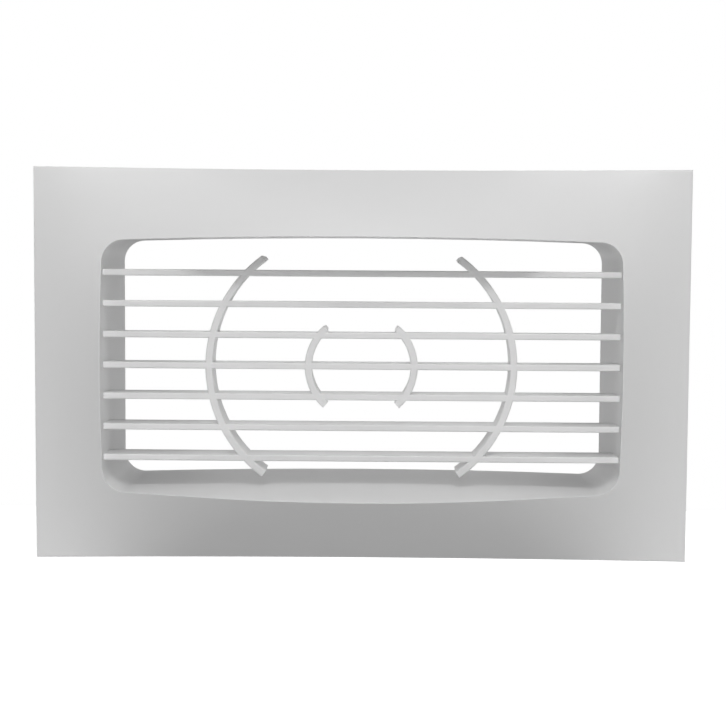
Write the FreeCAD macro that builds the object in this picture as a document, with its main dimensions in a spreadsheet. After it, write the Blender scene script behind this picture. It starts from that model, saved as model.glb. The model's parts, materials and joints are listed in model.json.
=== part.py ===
import FreeCAD, Part
import math
import os
import Sketcher

# A fixed louvred air grille for a flat 120 x 60 mm duct: a domed face plate, a sleeve that goes
# into the duct, seven louvres across the sleeve and four curved ribs that tie the louvres together.
#
# Frame, in millimetres: the origin is the centre of the sleeve in the wall plane, X runs to the
# right as seen from the room, Y into the wall, and Z up. The face is on the -Y side.

Vector = FreeCAD.Vector

SIZES = [
    # the domed face plate
    ("plate_width", 150.0, "face plate across"),
    ("plate_height", 90.0, "face plate up and down, at its corners"),
    ("plate_waist", 0.52, "how far each long edge draws in at its middle"),
    ("edge_band", 2.5, "height of the square band round the plate's edge"),
    ("dome_rise", 43.6, "height of the dome above the band, if it were closed"),
    ("shell", 1.8, "thickness of the plate's wall"),
    ("edge_round", 0.3, "rounding of the plate's outer edge"),
    ("mouth_round", 0.1, "rounding of the mouth's edge"),
    # the sleeve
    ("sleeve_width", 120.0, "outside of the sleeve across"),
    ("sleeve_height", 60.0, "outside of the sleeve up and down"),
    ("sleeve_wall", 1.65, "thickness of the sleeve's wall"),
    ("sleeve_corner", 6.65, "outside radius of the sleeve's corners"),
    ("sleeve_depth", 24.0, "reach of the sleeve behind the wall plane"),
    ("sleeve_crown", 0.85, "how far both long walls bow upwards at their middle"),
    # louvres
    ("louvre_count", 7, "number of louvres"),
    ("louvre_pitch", 6.98, "distance from louvre to louvre"),
    ("louvre_lift", 0.15, "height of the middle louvre above the sleeve's axis"),
    ("louvre_front", 8.0, "distance of the louvres' front edges before the wall plane"),
    ("louvre_deep", 11.7, "depth of a louvre from front to back"),
    ("louvre_thick", 1.5, "thickness of a louvre at its front"),
    ("louvre_tail", 0.62, "thickness of a louvre at its back"),
    ("front_round", 0.35, "rounding of the louvres' front edges"),
    # curved ribs
    ("rib_thick", 1.7, "thickness of a curved rib at its front"),
    ("rib_tail", 0.76, "thickness of a curved rib at its back"),
    ("outer_radius", 31.0, "outside radius of the two outer ribs"),
    ("outer_shift", 4.28, "distance of an outer rib's centre from the middle"),
    ("outer_span", 108.0, "arc of an outer rib, in degrees"),
    ("inner_radius", 12.4, "outside radius of the two inner ribs"),
    ("inner_shift", 0.4, "distance of an inner rib's centre from the middle"),
    ("inner_span", 97.0, "arc of an inner rib, in degrees"),
    # stiffening webs behind the face
    ("web_thick", 1.5, "thickness of a web"),
    ("web_pitch", 36.0, "distance between the webs above and below the sleeve"),
    ("web_gap", 1.5, "how far a web stands back from the wall plane"),
]

# The dome is closed by these many spans of spline each way.
DOME_SPANS = 16
# The dome falls away up and down as this power of the distance from its middle.
DOME_POWER = 2
# To the left and right it falls as a cosine, drawn in by this share towards the plate's sides.
DOME_PINCH = 0.58
# How late the drawing in sets in, as a power.
DOME_PINCH_POWER = 1.5
# Tools that only cut reach this far past what they cut.
REACH = 60.0
# Points this close together count as one when an edge is looked for.
NEAR = 0.05
# Where the louvres and ribs begin and end along Y, as expressions.
FRONT_WORDS = "-dims.louvre_front"
BACK_WORDS = "dims.louvre_deep - dims.louvre_front"


def make_sheet(doc):
    """The driving dimensions, one row each: name, value, meaning."""
    sheet = doc.addObject("Spreadsheet::Sheet", "dims")
    for row, (alias, value, meaning) in enumerate(SIZES, start=1):
        sheet.set("A%d" % row, alias)
        sheet.set("B%d" % row, str(value))
        sheet.set("C%d" % row, meaning)
        sheet.setAlias("B%d" % row, alias)
    doc.recompute()
    return sheet


def new_body(doc, name):
    return doc.addObject("PartDesign::Body", name)


def new_sketch(body, name, plane):
    """A sketch on one of the body's own origin planes."""
    sketch = body.newObject("Sketcher::SketchObject", name)
    support = [f for f in body.Origin.OriginFeatures if f.Role == plane][0]
    sketch.AttachmentSupport = [(support, "")]
    sketch.MapMode = "FlatFace"
    return sketch


def bind(sketch, constraint, expression):
    """Adds a driving constraint whose value follows the sheet."""
    index = sketch.addConstraint(constraint)
    name = "size%d" % index
    sketch.renameConstraint(index, name)
    sketch.setExpression("Constraints." + name, expression)


def fix_point(sketch, line, end, place, words):
    """Holds one end of a line at a place whose two distances from the origin are expressions."""
    across, up = place
    across_words, up_words = words
    bind(sketch, Sketcher.Constraint("DistanceX", -1, 1, line, end, across), across_words)
    bind(sketch, Sketcher.Constraint("DistanceY", -1, 1, line, end, up), up_words)


def wedge_sketch(sketch, corners, expressions):
    """A closed four-sided outline, each corner bound to the sheet."""
    for start, end in zip(corners, corners[1:] + corners[:1]):
        sketch.addGeometry(Part.LineSegment(Vector(*start, 0), Vector(*end, 0)))
    for line in range(4):
        sketch.addConstraint(Sketcher.Constraint("Coincident", line, 2, (line + 1) % 4, 1))
    for line, (place, words) in enumerate(zip(corners, expressions)):
        fix_point(sketch, line, 1, place, words)


def crowned_outline(sketch, half_width, half_height, corner, crown, words):
    """A rounded rectangle whose two long sides bow upwards. words are the same four sizes as
    expressions. Going round: right side, top right corner, top, and so on."""
    across = half_width - corner
    up = half_height - corner
    bend = (across ** 2 + crown ** 2) / (2.0 * crown)
    wide, high, radius, rise = words
    flat = "(%s - %s)" % (wide, radius)
    axis = Vector(0, 0, 1)
    quarter = math.pi / 2
    lean = math.asin(across / bend)

    def arc(x, z, r, start, end):
        sketch.addGeometry(Part.ArcOfCircle(Part.Circle(Vector(x, z, 0), axis, r), start, end))

    sketch.addGeometry(Part.LineSegment(Vector(half_width, -up, 0), Vector(half_width, up, 0)))
    arc(across, up, corner, 0, quarter)
    arc(0, half_height + crown - bend, bend, quarter - lean, quarter + lean)
    arc(-across, up, corner, quarter, 2 * quarter)
    sketch.addGeometry(Part.LineSegment(Vector(-half_width, up, 0), Vector(-half_width, -up, 0)))
    arc(-across, -up, corner, 2 * quarter, 3 * quarter)
    arc(0, -half_height + crown - bend, bend, quarter - lean, quarter + lean)
    arc(across, -up, corner, 3 * quarter, 4 * quarter)

    # the bottom bow is drawn from right to left, as every arc runs anticlockwise
    joins = [(0, 2, 1, 1, True), (1, 2, 2, 1, False), (2, 2, 3, 1, False), (3, 2, 4, 1, True),
             (4, 2, 5, 1, True), (5, 2, 6, 2, False), (6, 1, 7, 1, False), (7, 2, 0, 1, True)]
    for first, first_end, second, second_end, smooth in joins:
        kind = "Tangent" if smooth else "Coincident"
        sketch.addConstraint(Sketcher.Constraint(kind, first, first_end, second, second_end))
    for line in (0, 4):
        sketch.addConstraint(Sketcher.Constraint("Vertical", line))
    fix_point(sketch, 1, 2, (across, half_height), (flat, high))
    fix_point(sketch, 3, 1, (-across, half_height), ("-" + flat, high))
    fix_point(sketch, 5, 2, (-across, -half_height), ("-" + flat, "-" + high))
    fix_point(sketch, 7, 1, (across, -half_height), (flat, "-" + high))
    bind(sketch, Sketcher.Constraint("DistanceX", -1, 1, 0, 1, half_width), wide)
    bind(sketch, Sketcher.Constraint("DistanceX", -1, 1, 4, 1, -half_width), "-" + wide)
    for line in (1, 3, 5, 7):
        bind(sketch, Sketcher.Constraint("Radius", line, corner), radius)
    for line in (2, 6):
        bind(sketch, Sketcher.Constraint("Radius", line, bend),
             "(%s ^ 2 + %s ^ 2) / (2 * %s)" % (flat, rise, rise))


def crowned_block(doc, sheet, name, walls):
    """A solid of the sleeve's outline, drawn in on every side by so many wall thicknesses. It
    starts at the sleeve's back end and runs forward past the face."""
    body = new_body(doc, name)
    sketch = new_sketch(body, name + "_outline", "XZ_Plane")
    inset = "%d * dims.sleeve_wall" % walls
    words = ("(dims.sleeve_width / 2 - %s)" % inset, "(dims.sleeve_height / 2 - %s)" % inset,
             "(dims.sleeve_corner - %s)" % inset, "dims.sleeve_crown")
    drawn_in = walls * sheet.sleeve_wall
    crowned_outline(sketch, sheet.sleeve_width / 2 - drawn_in, sheet.sleeve_height / 2 - drawn_in,
                    sheet.sleeve_corner - drawn_in, sheet.sleeve_crown, words)
    sketch.setExpression(".AttachmentOffset.Base.z", "-dims.sleeve_depth")
    doc.recompute()
    pad = body.newObject("PartDesign::Pad", name + "_pad")
    pad.Profile = sketch
    pad.setExpression("Length", "dims.sleeve_depth + %s" % REACH)
    doc.recompute()
    return body


def half_height_at(sheet, across):
    """Half the plate's height at across, from -1 to 1: less at the middle than at the corners."""
    return sheet.plate_height / 2 - sheet.plate_waist * (1 - across ** 2)


def dome_point(sheet, across, up):
    """A point of the plate's outside, for across and up from -1 to 1 over the plate."""
    arch = math.cos(math.pi / 2 * across)
    belly = arch * (1 - DOME_PINCH * (1 - arch) ** DOME_PINCH_POWER)
    rise = sheet.dome_rise * belly * (1 - abs(up) ** DOME_POWER)
    return Vector(sheet.plate_width / 2 * across, -sheet.edge_band - rise,
                  half_height_at(sheet, across) * up)


def dome_solid(sheet):
    """The plate as if it were solid: the domed front, the square band round it, a flat back."""
    steps = [-1 + 2 * i / DOME_SPANS for i in range(DOME_SPANS + 1)]
    surface = Part.BSplineSurface()
    surface.interpolate([[dome_point(sheet, across, up) for up in steps] for across in steps])
    front = surface.toShape()
    to_wall = Vector(0, sheet.edge_band, 0)
    band = [edge.extrude(to_wall) for edge in front.Edges]
    outline = Part.Wire(Part.__sortEdges__([edge.translated(to_wall) for edge in front.Edges]))
    shell = Part.makeShell([front] + band + [Part.Face(outline)])
    shell.sewShape()
    return Part.makeSolid(shell)


def hollow_dome(doc, sheet):
    """The plate's shell and the hollow behind it, as two objects."""
    solid = dome_solid(sheet)
    back = [face for face in solid.Faces if abs(face.CenterOfMass.y) < 1e-6][0]
    shell_shape = solid.makeThickness([back], -sheet.shell, 1e-3)
    shell = doc.addObject("Part::Feature", "dome_shell")
    shell.Shape = shell_shape
    hollow = doc.addObject("Part::Feature", "dome_hollow")
    hollow.Shape = solid.cut(shell_shape)
    return shell, hollow


def cut(doc, name, base, tool):
    result = doc.addObject("Part::Cut", name)
    result.Base = base
    result.Tool = tool
    return result


def common(doc, name, base, tool):
    result = doc.addObject("Part::Common", name)
    result.Base = base
    result.Tool = tool
    return result


def box(doc, name, sizes, corner):
    """A box whose three sizes and lowest corner are expressions."""
    block = doc.addObject("Part::Box", name)
    for side, words in zip(("Length", "Width", "Height"), sizes):
        block.setExpression(side, words)
    for axis, words in zip("xyz", corner):
        block.setExpression(".Placement.Base." + axis, words)
    return block


def face_plate(doc, sheet, shell, passage):
    """The domed shell with its mouth, the mouth's edge and the plate's outer edge rounded."""
    opened = cut(doc, "plate_opened", shell, passage)
    doc.recompute()
    plate = doc.addObject("Part::Fillet", "face_plate")
    plate.Base = opened
    edges = []
    for number, edge in enumerate(opened.Shape.Edges, start=1):
        if is_mouth_edge(sheet, edge):
            edges.append((number, sheet.mouth_round, sheet.mouth_round))
        elif is_plate_edge(sheet, edge):
            edges.append((number, sheet.edge_round, sheet.edge_round))
    plate.Edges = edges
    return plate


def points_along(edge):
    """Three points of an edge, near its ends and at its middle."""
    start, end = edge.ParameterRange
    return [edge.valueAt(start + share * (end - start)) for share in (0.1, 0.5, 0.9)]


def is_plate_edge(sheet, edge):
    """Whether an edge is where the dome meets the square band."""
    return all(abs(point.y + sheet.edge_band) < NEAR for point in points_along(edge))


def is_mouth_edge(sheet, edge):
    """Whether an edge lies on the plate's outside and on the passage's wall."""
    for point in points_along(edge):
        across = 2 * point.x / sheet.plate_width
        up = point.z / half_height_at(sheet, across)
        on_outside = abs(point.y - dome_point(sheet, across, up).y) < NEAR
        in_sleeve = abs(point.x) < sheet.sleeve_width / 2 and abs(point.z) < sheet.sleeve_height / 2
        if not (on_outside and in_sleeve):
            return False
    return True


def duct_sleeve(doc, outer, passage, hollow):
    """The tube that carries the louvres and goes into the duct. Its front end meets the shell."""
    before = box(doc, "space_before_wall",
                 ("2 * dims.plate_width", str(REACH), "2 * dims.plate_height"),
                 ("-dims.plate_width", "-%s" % REACH, "-dims.plate_height"))
    outside = cut(doc, "space_outside_hollow", before, hollow)
    tube = cut(doc, "sleeve_tube", outer, passage)
    return cut(doc, "duct_sleeve", tube, outside)


def louvre_blank(doc, sheet, number):
    """One louvre before its notches: a wedge, thicker at the front, from wall to wall."""
    name = "louvre_blank_%d" % number
    middle = (sheet.louvre_count + 1) / 2
    height = sheet.louvre_lift + (middle - number) * sheet.louvre_pitch
    body = new_body(doc, name)
    sketch = new_sketch(body, name + "_section", "YZ_Plane")
    front = -sheet.louvre_front
    back = front + sheet.louvre_deep
    corners = [(front, height - sheet.louvre_thick / 2), (back, height - sheet.louvre_tail / 2),
               (back, height + sheet.louvre_tail / 2), (front, height + sheet.louvre_thick / 2)]
    level = "(dims.louvre_lift + (%s) * dims.louvre_pitch)" % (middle - number)
    wedge_sketch(sketch, corners, [
        (FRONT_WORDS, level + " - dims.louvre_thick / 2"),
        (BACK_WORDS, level + " - dims.louvre_tail / 2"),
        (BACK_WORDS, level + " + dims.louvre_tail / 2"),
        (FRONT_WORDS, level + " + dims.louvre_thick / 2"),
    ])
    pad = body.newObject("PartDesign::Pad", name + "_pad")
    pad.Profile = sketch
    pad.SideType = "Symmetric"
    pad.setExpression("Length", "dims.sleeve_width - 2 * dims.sleeve_wall")
    doc.recompute()
    soften_front(body, pad, name, sheet)
    return body


def soften_front(body, base, name, sheet):
    """Rounds the two long front edges of a louvre or a rib."""
    front = -sheet.louvre_front
    edges = []
    for number, edge in enumerate(base.Shape.Edges, start=1):
        flat = abs(edge.BoundBox.YMin - front) < 1e-4 and abs(edge.BoundBox.YMax - front) < 1e-4
        if flat and edge.Length > 2 * sheet.rib_thick:
            edges.append("Edge%d" % number)
    fillet = body.newObject("PartDesign::Fillet", name + "_round")
    fillet.Base = (base, edges)
    fillet.setExpression("Radius", "dims.front_round")


def rib_blank(doc, sheet, name, side, size):
    """One curved rib before its notches: the same wedge swept round a centre that lies to one
    side of the middle. size is outer or inner, side is -1 for left and 1 for right."""
    body = new_body(doc, name)
    sketch = new_sketch(body, name + "_section", "XY_Plane")
    sketch.setExpression(".AttachmentOffset.Base.x", "%d * dims.%s_shift" % (side, size))
    sketch.setExpression(".AttachmentOffset.Base.y", "0")
    front = -sheet.louvre_front
    back = front + sheet.louvre_deep
    radius = getattr(sheet, size + "_radius")
    slope = (sheet.rib_thick - sheet.rib_tail) / 2
    corners = [(side * radius, front), (side * (radius - slope), back),
               (side * (radius - slope - sheet.rib_tail), back),
               (side * (radius - sheet.rib_thick), front)]
    outside = "%d * (dims.%s_radius" % (side, size)
    taper = "(dims.rib_thick - dims.rib_tail) / 2"
    wedge_sketch(sketch, corners, [
        (outside + ")", FRONT_WORDS),
        (outside + " - %s)" % taper, BACK_WORDS),
        (outside + " - %s - dims.rib_tail)" % taper, BACK_WORDS),
        (outside + " - dims.rib_thick)", FRONT_WORDS),
    ])
    doc.recompute()
    turn = body.newObject("PartDesign::Revolution", name + "_turn")
    turn.Profile = sketch
    turn.ReferenceAxis = (sketch, ["V_Axis"])
    turn.Midplane = True
    turn.setExpression("Angle", "dims.%s_span" % size)
    doc.recompute()
    soften_front(body, turn, name, sheet)
    return body


def halved(doc, name, blank, others, front):
    """A louvre or rib notched where it crosses the others, to half its depth, so that both run
    through. front says which half is taken away."""
    half = "dims.louvre_deep / 2"
    start = FRONT_WORDS if front else FRONT_WORDS + " + " + half
    slab = box(doc, name + "_half",
               ("dims.plate_width", half, "dims.plate_height"),
               ("-dims.plate_width / 2", start, "-dims.plate_height / 2"))
    crossing = common(doc, name + "_crossing", others, slab)
    return cut(doc, name, blank, crossing)


def web(doc, name, hollow, sleeve_block, sizes, corner):
    """A stiffening web: a thin slab that fills the hollow from the sleeve out to the shell."""
    slab = box(doc, name + "_slab", sizes, corner)
    inside = common(doc, name + "_inside", hollow, slab)
    return cut(doc, name, inside, sleeve_block)


def all_webs(doc, hollow, sleeve_block):
    """Three webs above the sleeve, three below it and one at each side."""
    high = "(dims.plate_height / 2)"
    wide = "(dims.plate_width / 2)"
    depth = "%s - dims.web_gap" % REACH
    front = "-%s" % REACH
    thin = "dims.web_thick"
    webs = []
    for row, floor in (("top", "0"), ("bottom", "-" + high)):
        for word, step in (("left", -1), ("middle", 0), ("right", 1)):
            left = "%d * dims.web_pitch - dims.web_thick / 2" % step
            webs.append(web(doc, "web_%s_%s" % (row, word), hollow, sleeve_block,
                            (thin, depth, high), (left, front, floor)))
    for word, left in (("left", "-" + wide), ("right", "0")):
        webs.append(web(doc, "web_side_%s" % word, hollow, sleeve_block,
                        (wide, depth, thin), (left, front, "-dims.web_thick / 2")))
    return webs


def fused(doc, name, objects):
    result = doc.addObject("Part::MultiFuse", name)
    result.Shapes = objects
    return result


def build(doc):
    """Every sub-part, as a list of (node name, object)."""
    sheet = make_sheet(doc)
    outer = crowned_block(doc, sheet, "sleeve_block", 0)
    passage = crowned_block(doc, sheet, "passage", 1)
    shell, hollow = hollow_dome(doc, sheet)

    parts = [("face_plate", face_plate(doc, sheet, shell, passage)),
             ("duct_sleeve", duct_sleeve(doc, outer, passage, hollow))]

    numbers = range(1, sheet.louvre_count + 1)
    louvres = [louvre_blank(doc, sheet, number) for number in numbers]
    rib_names = [("rib_outer_left", -1, "outer"), ("rib_outer_right", 1, "outer"),
                 ("rib_inner_left", -1, "inner"), ("rib_inner_right", 1, "inner")]
    ribs = [rib_blank(doc, sheet, name + "_blank", side, size) for name, side, size in rib_names]
    all_louvres = fused(doc, "louvres_together", louvres)
    all_ribs = fused(doc, "ribs_together", ribs)
    for number, blank in zip(numbers, louvres):
        name = "louvre_%d" % number
        parts.append((name, halved(doc, name, blank, all_ribs, True)))
    for (name, _, _), blank in zip(rib_names, ribs):
        parts.append((name, halved(doc, name, blank, all_louvres, False)))

    parts += [(piece.Name, piece) for piece in all_webs(doc, hollow, outer)]
    doc.recompute()
    return parts


def check(doc, parts):
    """Stops on a failed object or a sub-part that isn't one sound solid."""
    for item in doc.Objects:
        if "Invalid" in item.State or "Error" in item.State:
            raise RuntimeError("%s failed: %s" % (item.Name, item.State))
    for name, item in parts:
        shape = item.Shape
        if shape.isNull() or not shape.isValid() or len(shape.Solids) != 1:
            raise RuntimeError("%s isn't one sound solid" % name)


def main():
    doc = FreeCAD.newDocument("louvred_air_grille")
    parts = build(doc)
    check(doc, parts)
    os.makedirs("parts", exist_ok=True)
    for name, item in parts:
        item.Label = name
        item.Shape.exportStep("parts/%s.step" % name)
        print("%-18s %8.1f mm3" % (name, item.Shape.Volume))


main()
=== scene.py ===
import json
import math

import bpy
from mathutils import Euler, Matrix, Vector


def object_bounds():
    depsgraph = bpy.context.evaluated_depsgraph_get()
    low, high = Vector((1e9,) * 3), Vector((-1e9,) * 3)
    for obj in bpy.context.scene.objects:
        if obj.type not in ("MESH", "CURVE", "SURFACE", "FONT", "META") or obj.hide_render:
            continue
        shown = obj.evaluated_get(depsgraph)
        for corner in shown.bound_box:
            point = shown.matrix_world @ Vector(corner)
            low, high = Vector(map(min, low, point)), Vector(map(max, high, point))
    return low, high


# A white moulded air grille for a flat duct, seen from the room side, on plain white.
# Metres, in the CAD's own frame: X to the right, Y into the wall, Z up. The face is on the -Y side.

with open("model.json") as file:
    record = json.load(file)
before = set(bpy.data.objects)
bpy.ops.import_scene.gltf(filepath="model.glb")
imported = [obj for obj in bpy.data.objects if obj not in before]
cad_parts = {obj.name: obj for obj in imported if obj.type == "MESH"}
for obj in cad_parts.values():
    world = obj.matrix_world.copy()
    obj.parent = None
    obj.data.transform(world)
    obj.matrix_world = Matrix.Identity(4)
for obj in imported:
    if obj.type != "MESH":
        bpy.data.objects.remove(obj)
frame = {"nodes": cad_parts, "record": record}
CAD_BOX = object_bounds()

WHITE = (1, 1, 1, 1)

# The camera stands in front of the grille, a little above its middle, and looks slightly down.
CAMERA_PLACE = Vector((0.00314, -0.36829, 0.02676))
CAMERA_TURN = Euler([math.radians(a) for a in (85.904, -0.358, 0.463)], "XYZ")
CAMERA_LENS = 79.34
SENSOR = 36.0
NEAREST_SEEN = 0.01
FARTHEST_SEEN = 50.0

# Square lights, all at one distance: name, where each comes from as azimuth and elevation in
# degrees (0, 0 is the camera's side, 90 is the right), side in metres and strength in watts.
LIGHT_AWAY = 1.2
HARD = 0.12
SOFT = 0.35
LIGHTS = [
    ("key", 0, 37, HARD, 3.90),
    ("key_right", 12, 46, HARD, 1.08),
    ("front_middle", 0, 20, SOFT, 1.70),
    ("front_right", 35, 10, SOFT, 0.26),
    ("front_low", 0, -15, SOFT, 1.33),
    ("low", 0, -35, SOFT, 1.90),
    ("lowest", 0, -55, SOFT, 0.86),
    ("high", 0, 60, SOFT, 0.26),
    ("overhead", 0, 88, SOFT, 1.89),
    ("left", -65, 20, SOFT, 1.00),
    ("left_high", -65, 50, SOFT, 0.40),
    ("right", 65, 20, SOFT, 0.66),
    ("right_low", 65, -10, SOFT, 0.37),
    ("right_high", 65, 50, SOFT, 0.38),
    ("back", 180, 0, SOFT, 0.53),
]

# The room's own glow on the far side. It fades to nothing on the camera's side.
GLOW_BEHIND = 0.60

# The floor lies lower than every light, so it shades none of them.
FLOOR_DROP = 1.30
FLOOR_SIZE = 16.0
FLOOR_GREY = 0.8

# The plastic's grey, and how rough each of the three plastics is.
PLASTIC_GREY = 0.80
PLASTIC_IOR = 1.5
FACE_ROUGH = 0.42
SLEEVE_ROUGH = 0.40
LOUVRE_ROUGH = 0.38

# Its unevenness: how strong, how fine (patches to the metre) and how many layers of detail.
CLOUD_SHARE = 0.015
CLOUD_FINE, CLOUD_LAYERS = 55.0, 3.0
GLOSS_SPREAD = 0.05
GLOSS_FINE, GLOSS_LAYERS = 240.0, 4.0
GRAIN_STRENGTH = 0.06
GRAIN_HEIGHT = 0.0002
GRAIN_FINE, GRAIN_LAYERS = 2600.0, 2.0


def add_camera():
    camera = bpy.data.objects.new("camera", bpy.data.cameras.new("camera"))
    camera.location = CAMERA_PLACE
    camera.rotation_euler = CAMERA_TURN
    camera.data.lens = CAMERA_LENS
    camera.data.sensor_width = SENSOR
    camera.data.clip_start = NEAREST_SEEN
    camera.data.clip_end = FARTHEST_SEEN
    bpy.context.scene.collection.objects.link(camera)
    bpy.context.scene.camera = camera


def add_light(name, azimuth, elevation, side, watts):
    """A square light that points at the grille and isn't seen by the camera."""
    light = bpy.data.lights.new(name, "AREA")
    light.shape = "SQUARE"
    light.size = side
    light.energy = watts
    lamp = bpy.data.objects.new(name, light)
    a, e = math.radians(azimuth), math.radians(elevation)
    direction = Vector((math.sin(a) * math.cos(e), -math.cos(a) * math.cos(e), math.sin(e)))
    lamp.location = direction * LIGHT_AWAY
    lamp.rotation_euler = direction.to_track_quat("Z", "Y").to_euler()
    lamp.visible_camera = False
    bpy.context.scene.collection.objects.link(lamp)


def add_world():
    """A dim room around the grille. The camera itself sees plain white behind the object."""
    world = bpy.data.worlds.new("studio")
    world.use_nodes = True
    nodes, links = world.node_tree.nodes, world.node_tree.links
    nodes.clear()
    place = nodes.new("ShaderNodeTexCoord")
    axes = nodes.new("ShaderNodeSeparateXYZ")
    links.new(place.outputs["Generated"], axes.inputs[0])
    glow = nodes.new("ShaderNodeMapRange")
    glow.inputs["From Min"].default_value = -1.0
    glow.inputs["From Max"].default_value = 1.0
    glow.inputs["To Min"].default_value = 0.0
    glow.inputs["To Max"].default_value = GLOW_BEHIND
    links.new(axes.outputs["Y"], glow.inputs["Value"])
    room = nodes.new("ShaderNodeBackground")
    links.new(glow.outputs["Result"], room.inputs["Strength"])
    white = nodes.new("ShaderNodeBackground")
    white.inputs["Color"].default_value = WHITE
    path = nodes.new("ShaderNodeLightPath")
    mix = nodes.new("ShaderNodeMixShader")
    links.new(path.outputs["Is Camera Ray"], mix.inputs[0])
    links.new(room.outputs[0], mix.inputs[1])
    links.new(white.outputs[0], mix.inputs[2])
    out = nodes.new("ShaderNodeOutputWorld")
    links.new(mix.outputs[0], out.inputs["Surface"])
    bpy.context.scene.world = world


def add_floor():
    """A plain white floor well below the grille. The camera sees it, and it lights nothing."""
    half = FLOOR_SIZE / 2
    level = CAD_BOX[0].z - FLOOR_DROP
    mesh = bpy.data.meshes.new("floor")
    mesh.from_pydata([(-half, -half, level), (half, -half, level),
                      (half, half, level), (-half, half, level)], [], [(0, 1, 2, 3)])
    floor = bpy.data.objects.new("floor", mesh)
    material = bpy.data.materials.new("floor_white")
    material.use_nodes = True
    shader = material.node_tree.nodes["Principled BSDF"]
    shader.inputs["Base Color"].default_value = (FLOOR_GREY, FLOOR_GREY, FLOOR_GREY, 1)
    shader.inputs["Emission Color"].default_value = WHITE
    shader.inputs["Emission Strength"].default_value = 1.0
    mesh.materials.append(material)
    floor.visible_diffuse = False
    floor.visible_glossy = False
    bpy.context.scene.collection.objects.link(floor)


def moulded_plastic(name, rough):
    """Satin white plastic: faint cloudiness, uneven gloss and the fine texture of the mould."""
    material = bpy.data.materials.new(name)
    material.use_nodes = True
    nodes, links = material.node_tree.nodes, material.node_tree.links
    shader = nodes["Principled BSDF"]
    place = nodes.new("ShaderNodeTexCoord")

    def noise(fine, layers):
        node = nodes.new("ShaderNodeTexNoise")
        node.inputs["Scale"].default_value = fine
        node.inputs["Detail"].default_value = layers
        links.new(place.outputs["Object"], node.inputs["Vector"])
        return node.outputs["Fac"]

    tint = nodes.new("ShaderNodeMix")
    tint.data_type = "RGBA"
    for socket, share in (("A", 1 - CLOUD_SHARE), ("B", 1 + CLOUD_SHARE)):
        grey = PLASTIC_GREY * share
        tint.inputs[socket].default_value = (grey, grey, grey, 1)
    links.new(noise(CLOUD_FINE, CLOUD_LAYERS), tint.inputs["Factor"])
    links.new(tint.outputs["Result"], shader.inputs["Base Color"])

    gloss = nodes.new("ShaderNodeMapRange")
    gloss.inputs["To Min"].default_value = rough - GLOSS_SPREAD
    gloss.inputs["To Max"].default_value = rough + GLOSS_SPREAD
    links.new(noise(GLOSS_FINE, GLOSS_LAYERS), gloss.inputs["Value"])
    links.new(gloss.outputs["Result"], shader.inputs["Roughness"])

    grain = nodes.new("ShaderNodeBump")
    grain.inputs["Strength"].default_value = GRAIN_STRENGTH
    grain.inputs["Distance"].default_value = GRAIN_HEIGHT
    links.new(noise(GRAIN_FINE, GRAIN_LAYERS), grain.inputs["Height"])
    links.new(grain.outputs["Normal"], shader.inputs["Normal"])
    shader.inputs["IOR"].default_value = PLASTIC_IOR
    return material


def dress_nodes():
    """Gives every CAD node the plastic of its slot."""
    skins = {
        "face_plastic": moulded_plastic("face_plastic_white", FACE_ROUGH),
        "sleeve_plastic": moulded_plastic("sleeve_plastic_white", SLEEVE_ROUGH),
        "louvre_plastic": moulded_plastic("louvre_plastic_white", LOUVRE_ROUGH),
    }
    slots = {part["node"]: part["material_slot"] for part in frame["record"]["subparts"]}
    for name, piece in frame["nodes"].items():
        for holder in piece.material_slots:
            holder.material = skins[slots[name]]


bpy.context.scene.view_settings.view_transform = "Standard"
add_camera()
add_world()
for values in LIGHTS:
    add_light(*values)
add_floor()
dress_nodes()
